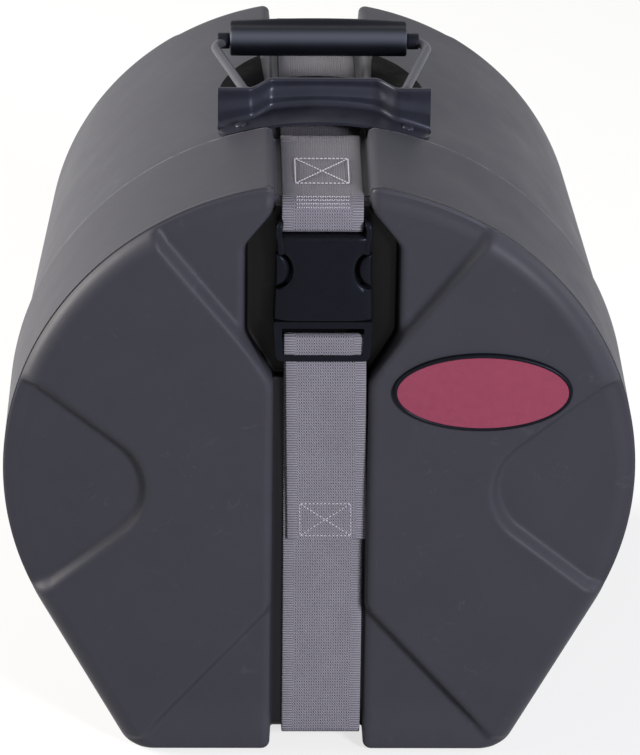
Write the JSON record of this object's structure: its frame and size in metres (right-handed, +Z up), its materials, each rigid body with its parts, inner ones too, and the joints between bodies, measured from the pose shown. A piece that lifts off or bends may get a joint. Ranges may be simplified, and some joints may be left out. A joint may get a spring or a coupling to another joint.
{
  "type": "drum case",
  "caption": "D-shaped moulded drum case: slip-over lid with sunk wedge panels, deep tub, strap with side-release buckle in a channel, and folding bail handle.",
  "frame": {"origin": "centre of the bounding box's foot, on the surface that the case stands on", "axes": "+Z up, -Y out of the lid's face, +X to the right of someone who faces the lid"},
  "size_m": [0.4078, 0.3732, 0.42],
  "materials": {
    "moulded_shell": "charcoal rotationally moulded polyethylene, fine pebble",
    "foam": "closed-cell foam",
    "webbing": "grey woven webbing",
    "coated_steel": "gloss black coated steel",
    "buckle_plastic": "satin black acetal",
    "grip_plastic": "satin black plastic",
    "collar_rubber": "matt black rubber",
    "enamel": "burgundy"
  },
  "bodies": {
    "base": {"base_shell": "moulded_shell", "liner_left": "foam", "liner_right": "foam", "base_pad": "foam", "strap_base_run": "webbing", "strap_rivet_left": "coated_steel", "strap_rivet_right": "coated_steel", "handle_bracket": "coated_steel", "backing_plate_left": "coated_steel", "backing_plate_right": "coated_steel", "bracket_rivet_1": "coated_steel", "bracket_rivet_2": "coated_steel", "bracket_rivet_3": "coated_steel", "bracket_rivet_4": "coated_steel"},
    "lid": {"lid_shell": "moulded_shell", "lid_pad": "foam", "strap_top_bridge": "webbing", "strap_foot_bridge": "webbing", "strap_upper_run": "webbing", "strap_lower_run": "webbing", "buckle_female": "buckle_plastic", "buckle_male": "buckle_plastic", "plate_bezel": "grip_plastic", "plate_face": "enamel"},
    "handle": {"handle_bail": "coated_steel", "handle_grip": "grip_plastic", "grip_collar_left": "collar_rubber", "grip_collar_right": "collar_rubber"},
    "prong_right": {"buckle_prong_right": "buckle_plastic"},
    "prong_left": {"buckle_prong_left": "buckle_plastic"},
    "tail": {"strap_tail": "webbing"}
  },
  "joints": [
    {"name": "lid_slide", "type": "slide", "parent": "base", "child": "lid", "axis": [0, -1, 0], "range_m": [0, 0.085], "deforming": ["strap_top_bridge", "strap_foot_bridge"]},
    {"name": "handle_fold", "type": "hinge", "parent": "base", "child": "handle", "pos_m": [0, -0.0314, 0.409], "axis": [1, 0, 0], "range_deg": [0, 92]},
    {"name": "prong_right_pinch", "type": "hinge", "parent": "lid", "child": "prong_right", "pos_m": [0.019, -0.17265, 0.3238], "axis": [0, -1, 0], "range_deg": [0, 6], "stiffness_Nm_per_rad": 0.6},
    {"name": "prong_left_pinch", "type": "hinge", "parent": "lid", "child": "prong_left", "pos_m": [-0.019, -0.17265, 0.3238], "axis": [0, 1, 0], "range_deg": [0, 6], "stiffness_Nm_per_rad": 0.6},
    {"name": "tail_lift", "type": "hinge", "parent": "lid", "child": "tail", "pos_m": [0, -0.1779, 0.2933], "axis": [-1, 0, 0], "range_deg": [0, 60]}
  ]
}
